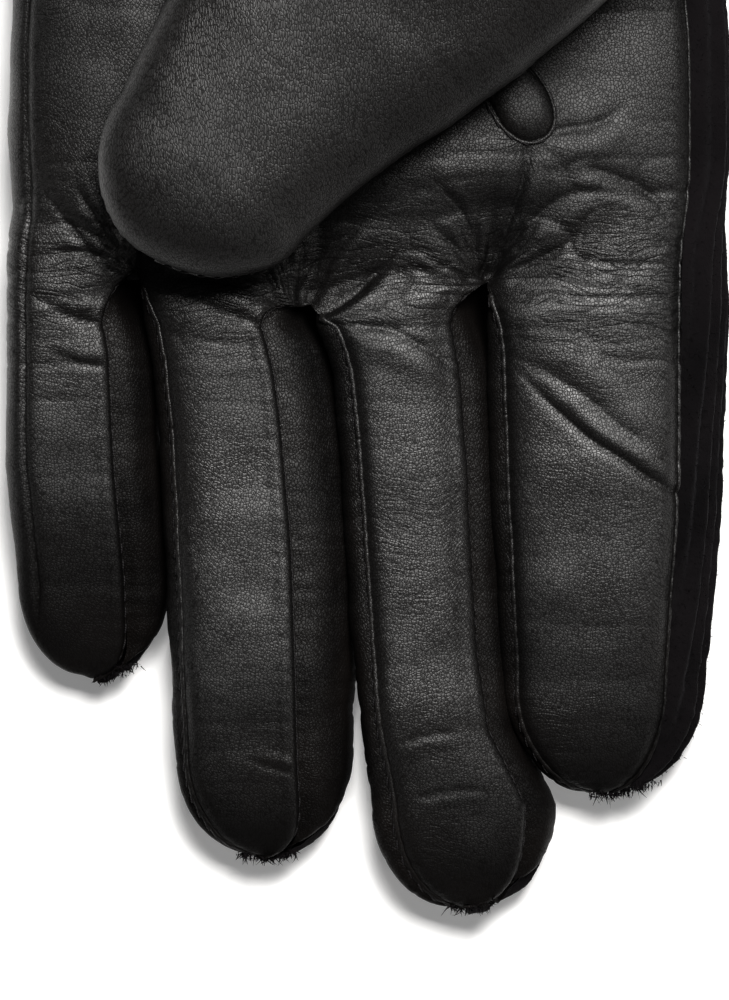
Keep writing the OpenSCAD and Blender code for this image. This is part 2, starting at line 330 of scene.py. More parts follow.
class Shade:
    """A material being wired: its nodes, with a Principled shader at their end."""

    def __init__(self, name):
        self.material = bpy.data.materials.new(name)
        self.material.use_nodes = True
        self.tree = self.material.node_tree
        self.tree.nodes.clear()
        out = self.tree.nodes.new("ShaderNodeOutputMaterial")
        self.bsdf = self.tree.nodes.new("ShaderNodeBsdfPrincipled")
        self.tree.links.new(self.bsdf.outputs[0], out.inputs[0])

    def feed(self, socket, value):
        if isinstance(value, bpy.types.NodeSocket):
            self.tree.links.new(value, socket)
        else:
            socket.default_value = value

    def node(self, kind, *values, give=0, **named):
        """Adds a node and gives one of its outputs. Small-letter names are settings, the others inputs."""
        n = self.tree.nodes.new("ShaderNode" + kind)
        for key, value in named.items():
            if key.islower():
                setattr(n, key, value)
        for key, value in (*enumerate(values), *((k, v) for k, v in named.items() if not k.islower())):
            self.feed(n.inputs[key], value)
        return n.outputs[give]

    def math(self, op, *values):
        return self.node("Math", *values, operation=op)

    def vector(self, op, *values, **named):
        return self.node("VectorMath", *values, operation=op, **named)

    def coords(self, stretch=(1, 1, 1)):
        return self.node("Mapping", self.node("TexCoord", give="Object"), Scale=stretch)

    def part(self, vector, axis):
        return self.node("SeparateXYZ", vector, give=axis)

    def noise(self, vector, scale, detail, **named):
        return self.node("TexNoise", vector, Scale=scale, Detail=detail, **named)

    def wave(self, vector, scale, distortion, way):
        return self.node("TexWave", vector, Scale=scale, Distortion=distortion, bands_direction=way, give=1)

    def ramp(self, value, *stops):
        """A colour from two stops, each a place and a colour."""
        n = self.tree.nodes.new("ShaderNodeValToRGB")
        self.feed(n.inputs[0], value)
        for e, (at, colour) in zip(n.color_ramp.elements, stops):
            e.position = at
            e.color = (*colour, 1)
        return n.outputs[0]

    def ranged(self, value, *limits):
        """A value from one range mapped smoothly to another: from low, from high, to low, to high."""
        return self.node("MapRange", value, *limits, interpolation_type="SMOOTHSTEP")

    def bump(self, height, strength, distance, before=None):
        named = {} if before is None else {"Normal": before}
        return self.node("Bump", Strength=strength, Distance=distance, Height=height, **named)

    def lines(self, value, width):
        """1 on open skin, falling to 0 along the lines where a noise crosses its middle."""
        off = self.math("ABSOLUTE", self.math("SUBTRACT", value, 0.5))
        return self.math("MINIMUM", self.math("DIVIDE", off, width), 1.0)

    def paint(self, **named):
        """Feeds the shader's inputs, with _ for a space in their names, and gives the material."""
        for key, value in named.items():
            self.feed(self.bsdf.inputs[key.replace("_", " ")], value)
        return self.material


def grey(v):
    return (v, v, v)


def pleats(m, where, centre, reach, count):
    """Fine folds running out from one point of the palm, 1 in a fold and 0 beside it."""
    flat = m.vector("MULTIPLY", where, (1, 1, 0))
    off = m.vector("SUBTRACT", flat, (centre[0], centre[1], 0))
    size = m.vector("LENGTH", off, give="Value")
    spokes = m.vector("SCALE", m.vector("NORMALIZE", off), Scale=count)
    wander = m.node("CombineXYZ", Z=m.math("MULTIPLY", size, PLEAT_WANDER))
    fold = m.math("SUBTRACT", 1.0, m.lines(m.noise(m.vector("ADD", spokes, wander), 1.0, 1.0), PLEAT_WIDTH))
    return m.math("MULTIPLY", fold, m.math("EXPONENT", m.math("DIVIDE", size, -reach)))


GRAIN = 0.42 * MM
GRAIN_LINE = 0.18
PLEAT_WIDTH = 0.16
PLEAT_WANDER = 0.22 / MM
DYE = (0.0009, 0.0008, 0.0008)
KNUCKLE_BAND = 13 * MM
# Where along the hand the painted shade of the palm's hollow comes in, and how much rougher the leather is
# where the painted shade is deepest.
PALM_RISE = (-4 * MM, 26 * MM)
DULLER = 0.06


def painted_shade(m, where, flank, least, hollow):
    """Painted shade on the leather's shine: 1 on the upper skin of the fingers, falling to a least value
    down the flanks and the tips, and to another in the hollow of the palm."""
    return m.math("MULTIPLY", m.ranged(m.part(where, 2), *flank, least, 1.0),
                  m.ranged(m.part(where, 1), *PALM_RISE, 1.0, hollow))


def wrinkles(m, where):
    """Short wrinkles across the hand, 1 in a wrinkle: a band at the knuckles, and patches elsewhere."""
    sway = m.vector("SCALE", m.noise(where, 75.0, 1.0, give="Color"), Scale=9 * MM)
    flat = m.node("Mapping", m.vector("ADD", where, sway), Scale=(1, 5.0, 1))
    lines = m.math("SUBTRACT", 1.0, m.lines(m.noise(flat, 150.0, 3.0), 0.06))
    far = m.math("DIVIDE", m.math("SUBTRACT", m.part(where, 1), 1 * MM), KNUCKLE_BAND)
    band = m.math("EXPONENT", m.math("MULTIPLY", m.math("MULTIPLY", far, far), -1.0))
    patches = m.ranged(m.noise(m.coords((1, 1, 0.3)), 85.0, 1.0), 0.54, 0.66, 0.0, 0.45)
    return m.math("MULTIPLY", lines, m.math("MAXIMUM", band, patches))


def leather(name, streaks=False, creased=True, rough=0.42, worn=(0.0032, 0.0028, 0.0027), shine=0.56,
            pebble=1.0, flank=(0.42 * HAND_TOP, 0.82 * HAND_TOP), least=0.14, hollow=0.62):
    """Black nappa: pebbled grain cut by fine lines, crossed by wrinkles, browner in broad patches. Painted
    shade cuts its shine in the lines and wrinkles, down the flanks, at the tips and in the palm.
    """
    m = Shade(name)
    where = m.coords()
    drawn_out = m.coords((1.25, 0.5, 1) if streaks else (1, 0.85, 1))
    sway = m.vector("SCALE", m.noise(where, 700.0, 2.0, give="Color"), Scale=0.5 * MM)
    cells = m.vector("ADD", drawn_out, sway)
    middle = m.node("TexVoronoi", cells, Scale=1 / GRAIN)
    edge = m.node("TexVoronoi", cells, Scale=1 / GRAIN, feature="DISTANCE_TO_EDGE")
    cut = m.math("MINIMUM", m.math("DIVIDE", edge, GRAIN_LINE), 1.0)
    dome = m.math("SUBTRACT", 1.0, middle)
    height = m.math("ADD", m.math("MULTIPLY", cut, 0.7), m.math("MULTIPLY", dome, 0.3))
    out = m.bump(m.noise(drawn_out, 4200.0, 3.0), 0.3, 0.02 * MM)
    out = m.bump(height, 0.42 * pebble, 0.08 * MM, out)
    # Painted shade: less shine in the grain's lines, and on creased leather also in the wrinkles and pleats.
    crease_shade = cut
    if creased:
        folds = wrinkles(m, where)
        for centre, reach, count in PLEATS:
            folds = m.math("MAXIMUM", folds, pleats(m, where, centre, reach, count))
        open_skin = m.math("SUBTRACT", 1.0, folds)
        out = m.bump(open_skin, 0.6, 0.09 * MM, out)
        crease_shade = m.math("MULTIPLY", cut, m.math("ADD", m.math("MULTIPLY", open_skin, 1.1), -0.1))
    if streaks:
        out = m.bump(m.noise(m.coords((6, 0.7, 1)), 260.0, 3.0), 0.35, 0.06 * MM, out)
    broad = m.noise(where, 60.0, 4.0)
    # Painted shade: the shine is cut down the flanks, at the tips and in the hollow of the palm, and the
    # leather is rougher there.
    shade_mask = painted_shade(m, where, flank, least, hollow)
    patchy = m.ramp(broad, (0.3, grey(rough + 0.08)), (0.7, grey(rough - 0.05)))
    matt = m.math("ADD", patchy, m.math("MULTIPLY", m.math("SUBTRACT", 1.0, shade_mask), DULLER))
    gloss = m.math("MULTIPLY", m.math("ADD", m.math("MULTIPLY", crease_shade, 0.7), 0.3), shine)
    return m.paint(Normal=out, Base_Color=m.ramp(broad, (0.35, DYE), (0.7, worn)), Roughness=matt,
                   Specular_IOR_Level=m.math("MULTIPLY", gloss, shade_mask))


def velvet(name):
    """Black pile: almost no gloss, a pale lilac sheen at grazing angles, soft clumps."""
    m = Shade(name)
    where = m.coords()
    out = m.bump(m.noise(where, 950.0, 4.0, Roughness=0.65), 0.8, 0.35 * MM)
    out = m.bump(m.noise(m.coords((1, 0.35, 1)), 4200.0, 2.0), 0.6, 0.12 * MM, out)
    dark, pale = (0.0016, 0.0014, 0.0016), (0.0046, 0.0038, 0.0043)
    colour = m.ramp(m.noise(where, 70.0, 3.0), (0.3, dark), (0.75, pale))
    return m.paint(Normal=out, Base_Color=colour, Roughness=0.95, Specular_IOR_Level=0.04, Sheen_Weight=0.012,
                   Sheen_Roughness=0.35, Sheen_Tint=(0.62, 0.58, 0.68, 1))


def knit(name):
    """Dark grey knitted lining: rows of small loops and a brushed surface."""
    m = Shade(name)
    where = m.coords()
    fuzz = m.noise(where, 2600.0, 3.0)
    out = m.bump(m.wave(where, 420.0, 1.5, "X"), 0.6, 0.2 * MM)
    out = m.bump(m.wave(where, 330.0, 2.0, "Y"), 0.5, 0.15 * MM, out)
    out = m.bump(fuzz, 0.5, 0.08 * MM, out)
    colour = m.ramp(fuzz, (0.3, (0.03, 0.03, 0.033)), (0.7, (0.075, 0.075, 0.08)))
    return m.paint(Normal=out, Base_Color=colour, Roughness=0.9, Sheen_Weight=0.25, Sheen_Roughness=0.5)


def thread(name):
    m = Shade(name)
    twist = m.wave(m.coords(), 1500.0, 0.4, "DIAGONAL")
    return m.paint(Normal=m.bump(twist, 0.7, 0.06 * MM), Roughness=0.55, Specular_IOR_Level=0.12,
                   Base_Color=m.ramp(twist, (0.2, (0.003, 0.0027, 0.003)), (0.9, (0.009, 0.008, 0.0085))))


def elastic(name):
    """Covered elastic band: woven ribs along its length."""
    m = Shade(name)
    ribs = m.wave(m.coords(), 650.0, 0.3, "Y")
    out = m.bump(ribs, 0.7, 0.15 * MM)
    out = m.bump(m.noise(m.coords(), 3000.0, 2.0), 0.4, 0.06 * MM, out)
    return m.paint(Normal=out, Base_Color=m.ramp(ribs, (0.2, (0.28, 0.27, 0.25)), (0.9, (0.45, 0.43, 0.4))),
                   Roughness=0.8)


def ground(name):
    m = Shade(name)
    return m.paint(Base_Color=m.ramp(m.noise(m.coords(), 3.0, 2.0), (0.3, grey(0.88)), (0.7, grey(0.9))),
                   Roughness=0.9, Specular_IOR_Level=0.1, Emission_Color=(1, 1, 1, 1), Emission_Strength=0.2)


# ---------------------------------------------------------------- where each finger's pieces divide

def split_at(f):
    """The place along the finger, midway between its two bending lines, where two visual pieces meet."""
    return (-KNUCKLE_Y - JOINTS[f + "_bend"]["pos_m"][1]) / 2


def bend_piece(obj, part):
    """Bakes a finger piece's placement into its points; a base piece and a tip piece are treated alike."""
    if part == "base":
        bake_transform(obj)
    else:
        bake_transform(obj)


def finger_rows(f, step):
    p = PROFILE[f]
    cut = split_at(f)
    first = np.linspace(0, cut, max(2, int(cut / step)) + 1)
    second = np.linspace(cut, p["start"], max(2, int((p["start"] - cut) / step)) + 1)[1:]
    turns = np.radians(np.linspace(0, 89.6, max(8, int(p["reach"] * 1.5 / step))))[1:]
    return np.concatenate([first, second, p["start"] + p["reach"] * np.sin(turns)]), len(first) - 1


# Height of the forks on the front, as a share of the palm's
FORK_HIGH = 0.68


def neighbour(f, side):
    k = FINGERS.index(f) + (1 if side == "right" else -1)
    return FINGERS[k] if 0 <= k < 4 else None


def crotch(f, side, back=False):
    """The point of the fork beside a finger, on the front or on the back."""
    other = neighbour(f, side)
    if other is None:
        return None
    a, b = (f, other) if side == "right" else (other, f)
    zero = np.array(0.0)
    one = finger_point(a, zero, (right_hem if back else right_seam)(a, zero))
    two = finger_point(b, zero, (left_hem if back else left_seam)(b, zero))
    middle = (one + two) / 2
    if not back:
        middle[2] = FORK_HIGH * HAND_TOP
    return middle


# A strip on the index side falls away from its seam in a straighter line than the finger's own form
SIDE_TURN = 6.0
FLATTEN = 0.6


def panel(f, kind, s, n):
    """Base grid of one strip of a finger, columns from the index side of the strip round the finger."""
    low, high = {"front": (right_seam, left_seam), "right": (right_hem, right_seam),
                 "left": (left_seam, left_hem), "back": (left_hem, right_hem)}[kind]
    full = 360 if kind == "back" else 0
    u = np.linspace(0, 1, DENSE + 1)

    def rows(along):
        lo, hi = low(f, along)[:, None], high(f, along)[:, None] + full
        turns = lo + (hi - lo) * u
        curve = finger_point(f, along[:, None] + 0 * u, turns)
        if kind == "right":
            side, seam = (finger_point(f, along[:, None], turn) for turn in (SIDE_TURN + 0 * hi, hi))
            up = np.clip((turns - SIDE_TURN) / (hi - SIDE_TURN), 0, 1)[..., None]
            flat = curve + (side + (seam - side) * up - curve) * FLATTEN * smooth(up, 0, 0.3)
            curve = np.where(turns[..., None] > SIDE_TURN, flat, curve)
        return even(curve, n)

    g = rows(s)
    first = rows(np.zeros(1))[0]
    v = np.linspace(0, 1, n + 1)[:, None]
    if kind in ("front", "back"):
        ends = ("right", "left") if kind == "front" else ("left", "right")
        a, b = (crotch(f, side, kind == "back") for side in ends)
        pull = np.zeros_like(first)
        if a is not None:
            pull += (1 - v) ** 3 * (a - first[0])
        if b is not None:
            pull += v ** 3 * (b - first[-1])
    else:
        a, b = crotch(f, kind, True), crotch(f, kind, False)
        if kind == "left":
            a, b = b, a
        pull = a + (b - a) * v - first
    return g + spread(s)[:, None, None] * pull


# How far each fork sits from the plain meeting point of the two fingers, across and along the hand
FORK_SHIFT = {"little": (-1.9 * MM, 1.2 * MM), "ring": (-1.8 * MM, -3.4 * MM),
              "middle": (-1.2 * MM, -0.3 * MM)}
FORK_REACH = 6.5 * MM


def drawn(g):
    """Draws everything near a fork of two fingers across and along by that fork's shift."""
    g = g.copy()
    for f, (dx, dy) in FORK_SHIFT.items():
        c = crotch(f, "right")
        w = np.exp(-((g[..., 0] - c[0]) ** 2 + (g[..., 1] - c[1]) ** 2) / FORK_REACH ** 2)
        g[..., 0] += dx * w
        g[..., 1] += dy * w
    return g


# ---------------------------------------------------------------- folds and puckers, as real shape

LUMP = 0.34 * MM


FORKS = [crotch(f, "right") + np.array([*FORK_SHIFT[f], 0]) for f in FINGERS[:3]]


def line_fold(p, a, b, width, depth, bow=0.0):
    """One crisp crease from a to b, deepest near a, with the skin swelling on one side of it."""
    a, b = np.array(a), np.array(b)
    d = b - a
    length = np.hypot(*d)
    u = ((p[..., 0] - a[0]) * d[0] + (p[..., 1] - a[1]) * d[1]) / length
    off = ((p[..., 0] - a[0]) * d[1] - (p[..., 1] - a[1]) * d[0]) / length
    off = off + 0.5 * MM * noise(p, 7 * MM, 31) + bow * length * (1 - (2 * u / length - 1) ** 2)
    ends = smooth(u, -0.1 * length, 0.1 * length) * (1 - smooth(u, 0.55 * length, 1.1 * length))
    valley = -np.exp(-np.abs(off) / width)
    hill = 0.5 * np.exp(-((off - 3.0 * width) / (2.4 * width)) ** 2)
    return depth * ends * (valley + hill)


def fan(centre, count, low, high, reach, rng):
    """Creases that run out from the fork, spread over a range of directions in degrees."""
    found = []
    for k in range(count):
        a = math.radians(low + (high - low) * (k + 0.5 + 0.5 * rng.uniform(-1, 1)) / count)
        start, length = rng.uniform(0.8, 2.2) * MM, reach * rng.uniform(0.55, 1.25)
        way = np.array([math.cos(a), math.sin(a)])
        found.append((tuple(centre[:2] + way * start), tuple(centre[:2] + way * (start + length)),
                      rng.uniform(0.3, 0.65) * MM, rng.uniform(0.3, 0.65) * MM, rng.uniform(-0.12, 0.12)))
    return found


def mid_x(f, s):
    return float(np.interp(s, PROFILE[f]["s"], PROFILE[f]["x"]))


def half_x(f, s):
    return float(np.interp(s, PROFILE[f]["s"], PROFILE[f]["half"]))


def across(f, s, t):
    """A place on a finger's front: s along it, and t across it from -1 to 1 at the index side."""
    return (mid_x(f, s) + t * half_x(f, s), -s)


SIDE_BAND = 2.6 * MM


def side_line(p):
    """The groove along the outer side of the hand and the little finger, a band's width in from its edge."""
    little = PROFILE["little"]
    ys = np.concatenate([-little["s"][::-1], hand_rows[hand_rows[:, 0] > 5 * MM, 0]])
    xs = np.concatenate([little["low"][::-1], hand_rows[hand_rows[:, 0] > 5 * MM, 1]])
    off = p[..., 0] - np.interp(p[..., 1], ys, xs) - SIDE_BAND - 0.3 * MM * noise(p, 14 * MM, 33)
    upper = smooth(p[..., 2], 0.4 * HAND_TOP, 0.5 * HAND_TOP)
    return 0.7 * MM * np.exp(-np.abs(off) / (0.45 * MM)) * upper


def leather_shape(p):
    """How far the leather stands off its base form, in metres."""
    y = p[..., 1]
    d = LUMP * noise(p, 13 * MM, 1) + 0.45 * LUMP * noise(p, 5.5 * MM, 2)
    base = np.exp(-((y - 3 * MM) / (15 * MM)) ** 2)
    d = d + 0.4 * MM * base * creases(p, np.array([20, 5.0, 40]) * MM, 0.11, 3)
    d = d + 0.22 * MM * base * creases(p, np.array([9, 2.6, 40]) * MM, 0.13, 4)
    shaft = smooth(-y, 12 * MM, 30 * MM)
    d = d + 0.05 * MM * shaft * creases(p, np.array([16, 4.4, 40]) * MM, 0.1, 7)
    palm = smooth(y, 18 * MM, 40 * MM)
    d = d + 0.16 * MM * palm * creases(p, np.array([34, 7, 40]) * MM, 0.07, 9)
    d = d + 0.7 * MM * smooth(y, 8 * MM, 20 * MM) * noise(p, np.array([11, 15, 40]) * MM, 11)
    d = d - side_line(p)
    for fold in FOLDS:
        d = d + line_fold(p, *fold)
    return d


def near(point, x, y):
    """A place so many millimetres across and along from a point."""
    return point[0] + x * MM, point[1] + y * MM


def set_folds():
    """The folds that stand out, each from one place to another, and the fans of creases at the forks."""
    rng = np.random.default_rng(3)
    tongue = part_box("thumb_tongue")
    foot = ((tongue[0].x + tongue[1].x) / 2 + 1.5 * MM, tongue[0].y)
    fork = FORKS[2]
    found = [
        (across("index", 32 * MM, 0.8), across("index", 13 * MM, -0.85), 0.6 * MM, 0.7 * MM, 0.05),
        (across("index", 24 * MM, 0.3), across("index", 11 * MM, -0.9), 0.9 * MM, 0.35 * MM, -0.05),
        (near(fork, 1, 1), foot, 0.7 * MM, 0.8 * MM, 0.0),
        (near(fork, 2, 2), near(foot, 12, -7), 0.8 * MM, 0.6 * MM, 0.16),
        (near(foot, 8, -4), near(foot, 21, -13), 0.9 * MM, 0.6 * MM, 0.12),
        (near(foot, 2, 1), near(foot, 14, 6), 0.9 * MM, 0.5 * MM, -0.1),
        (across("little", 2 * MM, 0.8), across("little", -14 * MM, -0.6), 0.8 * MM, 0.5 * MM, 0.05),
        (across("little", 7 * MM, 0.7), across("little", 2 * MM, -0.8), 0.6 * MM, 0.45 * MM, 0.05),
        (across("little", 13 * MM, 0.6), across("little", 10 * MM, -0.5), 0.5 * MM, 0.3 * MM, 0.05),
        (across("ring", 7 * MM, 0.3), across("ring", 3 * MM, -0.8), 0.6 * MM, 0.45 * MM, -0.06),
        (across("middle", 5 * MM, -0.8), across("middle", 15 * MM, 0.7), 0.8 * MM, 0.5 * MM, 0.08),
        (across("middle", 67 * MM, -0.6), across("middle", 65 * MM, 0.3), 0.4 * MM, 0.22 * MM, 0.03),
        (across("middle", 75 * MM, -0.5), across("middle", 74 * MM, 0.4), 0.4 * MM, 0.2 * MM, 0.03),
        (across("ring", 72 * MM, 0.5), across("ring", 69 * MM, -0.3), 0.4 * MM, 0.25 * MM, 0.03),
    ]
    for c, low, high, many in zip(FORKS, (20, 15, 15), (170, 165, 175), (9, 11, 11)):
        found += fan(c, many, low, high, 13 * MM, rng)
    return [((float(a[0]), float(a[1])), (float(b[0]), float(b[1])), w, d, bow) for a, b, w, d, bow in found]


FOLDS = set_folds()
TONGUE_FOOT = (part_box("thumb_tongue")[1].x - 4 * MM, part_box("thumb_tongue")[0].y)
PLEATS = [(c, 6.5 * MM, 5.5) for c in FORKS] + [(TONGUE_FOOT, 6 * MM, 4.0)]
# Heights over which the painted shade on the shine lifts off, on the thumb and on the strips between the
# fingers.
THUMB_FLANK = (1.25 * HAND_TOP, 1.62 * HAND_TOP)
SIDE_FLANK = (0.4 * HAND_TOP, 0.9 * HAND_TOP)

LEATHER = leather("leather")
LEATHER_THUMB = leather("leather_thumb", streaks=True, creased=False, flank=THUMB_FLANK, least=0.3)
LEATHER_EDGE = leather("leather_edge", creased=False, rough=0.43, worn=(0.005, 0.0043, 0.004))
# The strips between the fingers and the webs: more pebbled, with less shine and a deeper flank shade than the
# other leather, as painted shade where the fingers beside them shade them.
LEATHER_SIDE = leather("leather_side", creased=False, rough=0.45, worn=(0.0038, 0.0031, 0.0028), shine=0.36,
                       pebble=1.7, flank=SIDE_FLANK, least=0.12)
VELVET = velvet("velvet")
KNIT = knit("lining")
THREAD = thread("thread")


def side_shape(p):
    """The strips beside the fingers: small cross puckers."""
    return 0.25 * MM * noise(p, 7 * MM, 21) + 0.2 * MM * creases(p, np.array([20, 2.3, 9]) * MM, 0.2, 22)


def velvet_shape(p):
    """The velvet back: soft clumps of pile over low ridges along its length."""
    d = 0.3 * MM * noise(p, 12 * MM, 41) + 0.14 * MM * noise(p, 1.1 * MM, 43)
    ridges = np.cos(2 * math.pi * (p[..., 2] + 0.8 * MM * noise(p, 30 * MM, 45)) / (3.2 * MM))
    return d + 0.5 * MM * ridges * smooth(p[..., 0], 0.6 * abs(p[..., 0]).max(), 0.9 * abs(p[..., 0]).max())


STITCH = 2.4 * MM
GROOVE = 0.5 * MM
STEP = 0.9 * MM
STITCH_REACH = 0.3
STITCH_THICK = 0.14 * MM
STITCH_LIFT = 0.06 * MM
FREE_ROWS = 4


def groove(distance, along, strength):
    """The dip beside a sewn edge, drawn tighter at each stitch."""
    pucker = 0.5 + 0.5 * np.cos(2 * math.pi * along / STITCH)
    near = np.exp(-(distance / (1.3 * MM)) ** 2)
    return -strength * (GROOVE * near + 0.1 * MM * pucker * np.exp(-distance / (1.8 * MM)))


def seam_strength(f, kind, s):
    """How sewn each end of a strip is, first column then last: the seams of a fork fade in from its point."""
    grow = smooth(s, 0.5 * MM, 6 * MM)[:, None]
    full = np.ones_like(grow)
    if kind == "front":
        return (full if f == "index" else grow), (full if f == "little" else grow)
    if kind == "back":
        return (full if f == "little" else grow), (full if f == "index" else grow)
    return grow, grow


def step(distance, along, strength, wide):
    """A sewn edge that drops sharply on the panel's side and is drawn in gently on the strip's side."""
    pucker = 0.5 + 0.5 * np.cos(2 * math.pi * along / STITCH)
    drop = -STEP * np.exp(-(distance / ((1.9 if wide else 0.4) * MM)) ** 2)
    edge = 0 if wide else 0.3 * MM * np.exp(-((distance - 1.5 * MM) / (1.1 * MM)) ** 2)
    return strength * (drop + edge - 0.12 * MM * pucker * np.exp(-distance / (1.6 * MM)))


def shaped(g, n, shape, first, last, steps=(None, None)):
    """Moves a grid out along its normals by a shape, with sewn edges of the given strengths. steps says which
    edges are steps: None for a plain groove, else whether this is the wide side of the step."""
    near, far = edge_distance(g)
    d = shape(g)
    for distance, column, strength, kind in ((near, 0, first, steps[0]), (far, -1, last, steps[1])):
        along = lengths(g[:, column])[:, None]
        d = d + (groove(distance, along, strength) if kind is None else step(distance, along, strength, kind))
    return drawn(g + n * d[..., None])


# ---------------------------------------------------------------- hand, cuff, fronts and backs of the fingers

def hand_list():
    top = MOUTH_Y - HEM
    return np.linspace(top, 0, int(top / GRID) + 1)


def block_turns(f, back):
    """Where a finger's share of the hand's skin begins and ends, in turns round the hand."""
    right, left = crotch(f, "right", back), crotch(f, "left", back)
    r = (SIDE_RIGHT + (360 if back else 0)) if right is None else hand_turn(right[0], 0.0, back)
    l = SIDE_LEFT if left is None else hand_turn(left[0], 0.0, back)
    return (l, r) if back else (r, l)


def hand_block(f, back, ys, n):
    """A finger's share of the hand: from the finger's own form at the crotch line to the plain palm."""
    first = panel(f, "back" if back else "front", np.zeros(1), n)[0]
    g = around(hand_point, ys, *block_turns(f, back), n)
    w = smooth(ys, 0, PALM_BLEND)[:, None, None]
    mixed = first[None] * (1 - w) + g * w
    mixed[..., 1] = ys[:, None]
    return mixed


def columns(f, back):
    """How many columns a finger's front or back has."""
    width = edge_distance(panel(f, "back" if back else "front", np.zeros(1), DENSE))[0][0, -1]
    return max(16, int(width / (GRID * (1.5 if back else 1)) * 1.15))


def join_blocks(blocks):
    return np.concatenate([b if k == 0 else b[:, 1:] for k, b in enumerate(blocks)], axis=1)


def cut_blocks(whole, counts):
    found, at = [], 0
    for c in counts:
        found.append(whole[:, at:at + c + 1])
        at += c
    return found


def skin(back):
    """The whole front or back of the glove, shaped: the hand's points and normals, and for each finger its
    points, normals and the row where its pieces divide."""
    order = FINGERS if back else FINGERS[::-1]
    kind = "back" if back else "front"
    shape = velvet_shape if back else leather_shape
    ys = hand_list()[::2] if back else hand_list()
    if ys[-1] != 0:
        ys = np.append(ys, 0.0)
    counts = [columns(f, back) for f in order]
    rows = {f: finger_rows(f, GRID * (1.6 if back else 1)) for f in order}
    fingers = {f: panel(f, kind, rows[f][0], c) for f, c in zip(order, counts)}
    blocks = {f: hand_block(f, back, ys, c) for f, c in zip(order, counts)}

    def all_normals(blocks, fingers):
        hand_n = normals(join_blocks([blocks[f] for f in order]))
        cols = {f: normals(np.concatenate([blocks[f][:-1], fingers[f]])) for f in order}
        last = join_blocks([cols[f][len(ys) - 1:len(ys)] for f in order])
        hand_n[-1] = last[0]
        pieces = cut_blocks(hand_n, counts)
        finger_n = {}
        for f, piece in zip(order, pieces):
            finger_n[f] = cols[f][len(ys) - 1:].copy()
            finger_n[f][0] = piece[-1]
        return hand_n, finger_n

    hand_n, finger_n = all_normals(blocks, fingers)
    hand = join_blocks([blocks[f] for f in order])
    ones = np.ones((len(ys), 1))
    hand = shaped(hand, hand_n, lambda p: shape(p) + extra_hand(p, back), ones, ones)
    hand[..., 2] = np.maximum(hand[..., 2], CLEAR)
    made = {}
    for f in order:
        first, last = seam_strength(f, kind, rows[f][0])
        steps = (None, None) if back or f == "index" else (False, None)
        made[f] = shaped(fingers[f], finger_n[f], shape, first, last, steps)
        made[f][..., 2] = np.maximum(made[f][..., 2], CLEAR)
    for f, piece in zip(order, cut_blocks(hand, counts)):
        made[f][0] = piece[-1]
        blocks[f] = piece
    hand_n, finger_n = all_normals(blocks, made)
    return {"ys": ys, "hand": hand, "hand_n": hand_n,
            "fingers": {f: (made[f], finger_n[f], rows[f][1]) for f in order}}


def extra_hand(p, back):
    """Puckers where the elastic draws the back in at the wrist, and soft folds there on the front."""
    y = p[..., 1]
    near = np.exp(-((y - (WRIST_Y - 8 * MM)) / (5 * MM)) ** 2)
    if back:
        wave = np.cos(2 * math.pi * p[..., 0] / (4.2 * MM) + 1.5 * noise(p, 9 * MM, 51))
        return near * (-0.7 * MM + 0.45 * MM * wave)
    near = np.exp(-((y - WRIST_Y) / (14 * MM)) ** 2)
    return 0.6 * MM * near * creases(p, np.array([26, 6, 40]) * MM, 0.16, 52)


def cut_rows(ys, high, low):
    """Rows between two places of the hand, ends included."""
    return slice(int(np.argmin(np.abs(ys - high))), int(np.argmin(np.abs(ys - low))) + 1)


def hand_parts(ys):
    """Rows of the cuff, of the wrist, which bends, and of the hand."""
    high, low = WRIST_Y + WRIST_ZONE / 2 + WRIST_LAP, WRIST_Y - WRIST_ZONE / 2 - WRIST_LAP
    return [(part, cut_rows(ys, *ends))
            for part, ends in (("Cuff", (ys[0], high)), ("Wrist", (high, low)), ("Hand", (low, 0)))]


def hold(obj, part, **nodes):
    """Bakes a wrist piece's placement into its points. Other pieces ride on one, for its CAD node if any."""
    if part == "Wrist":
        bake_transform(obj)
        return
    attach(obj, part.lower())
    if part in nodes:
        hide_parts(nodes[part])


def finger_parts(cut):
    return ("Base", slice(0, cut + 1)), ("Tip", slice(cut, None))


WRIST_ZONE = 20 * MM
WRIST_LAP = 2 * MM


def make_skin():
    front, back = skin(False), skin(True)
    for name, side, made, material, slot, hand_node, cuff_node in (
            ("Palm_Leather", "Front", front, LEATHER, "leather", "palm_leather", "cuff_front"),
            ("Back_Velvet", "Back", back, VELVET, "velvet", "back_velvet", "cuff_back")):
        for part, rows in hand_parts(made["ys"]):
            obj = put_grid(f"{name}_{part}", made["hand"][rows], made["hand_n"][rows], material)
            hold(obj, part, Hand=hand_node, Cuff=cuff_node)
        for f in FINGERS:
            g, n, cut = made["fingers"][f]
            for part, rows in finger_parts(cut):
                obj = put_grid(f"{f.title()}_{side}_{part}", g[rows], n[rows], material)
                bend_piece(obj, part.lower())
                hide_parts(f"{f}_{part.lower()}_{side.lower()}")
    return front, back


# The strips swell towards the next finger near its root, and fall into a pit under each fork
BELLY = 1.1 * MM
BELLY_RUN = 38 * MM
PIT = 3.0 * MM
PIT_RUN = 4 * MM


